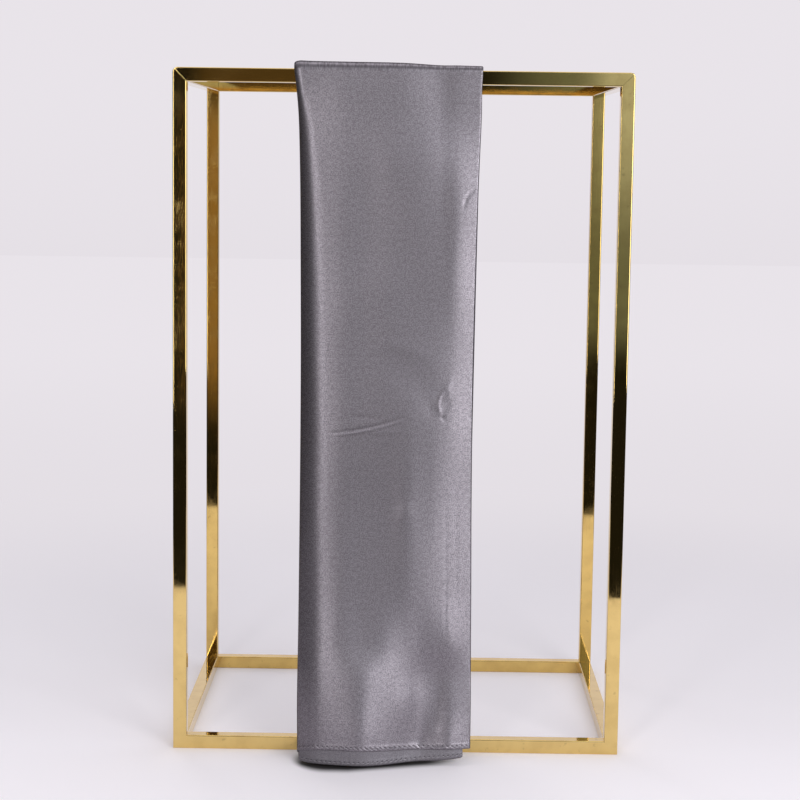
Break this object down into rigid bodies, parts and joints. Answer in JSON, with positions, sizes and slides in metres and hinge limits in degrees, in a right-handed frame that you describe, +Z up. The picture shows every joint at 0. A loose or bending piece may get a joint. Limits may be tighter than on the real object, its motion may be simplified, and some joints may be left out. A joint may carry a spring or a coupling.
{
  "type": "square satin scarf on a box-frame display stand",
  "caption": "Plain grey satin square scarf, folded lengthwise into a flat strip and hung over the front top bar of an open box-frame display stand of polished square tube.",
  "frame": {"origin": "middle of the footprint of stand and cloth, on the surface that the stand stands on", "axes": "+Z up, +X to the viewer's right along the front top bar, +Y from the front frame to the back frame"},
  "size_m": [0.297, 0.2562, 0.4547],
  "materials": {
    "grey_satin": "satin weave with a soft sheen",
    "polished_brass": "polished, with fine scratches"
  },
  "bodies": {
    "root": {"scarf_outer_leaf": "grey_satin", "scarf_inner_leaves": "grey_satin", "stand_front_top": "polished_brass", "stand_front_bottom": "polished_brass", "stand_front_left": "polished_brass", "stand_front_right": "polished_brass", "stand_back_top": "polished_brass", "stand_back_bottom": "polished_brass", "stand_back_left": "polished_brass", "stand_back_right": "polished_brass", "stand_depth_top_left": "polished_brass", "stand_depth_top_right": "polished_brass", "stand_depth_bottom_left": "polished_brass", "stand_depth_bottom_right": "polished_brass"}
  },
  "joints": []
}
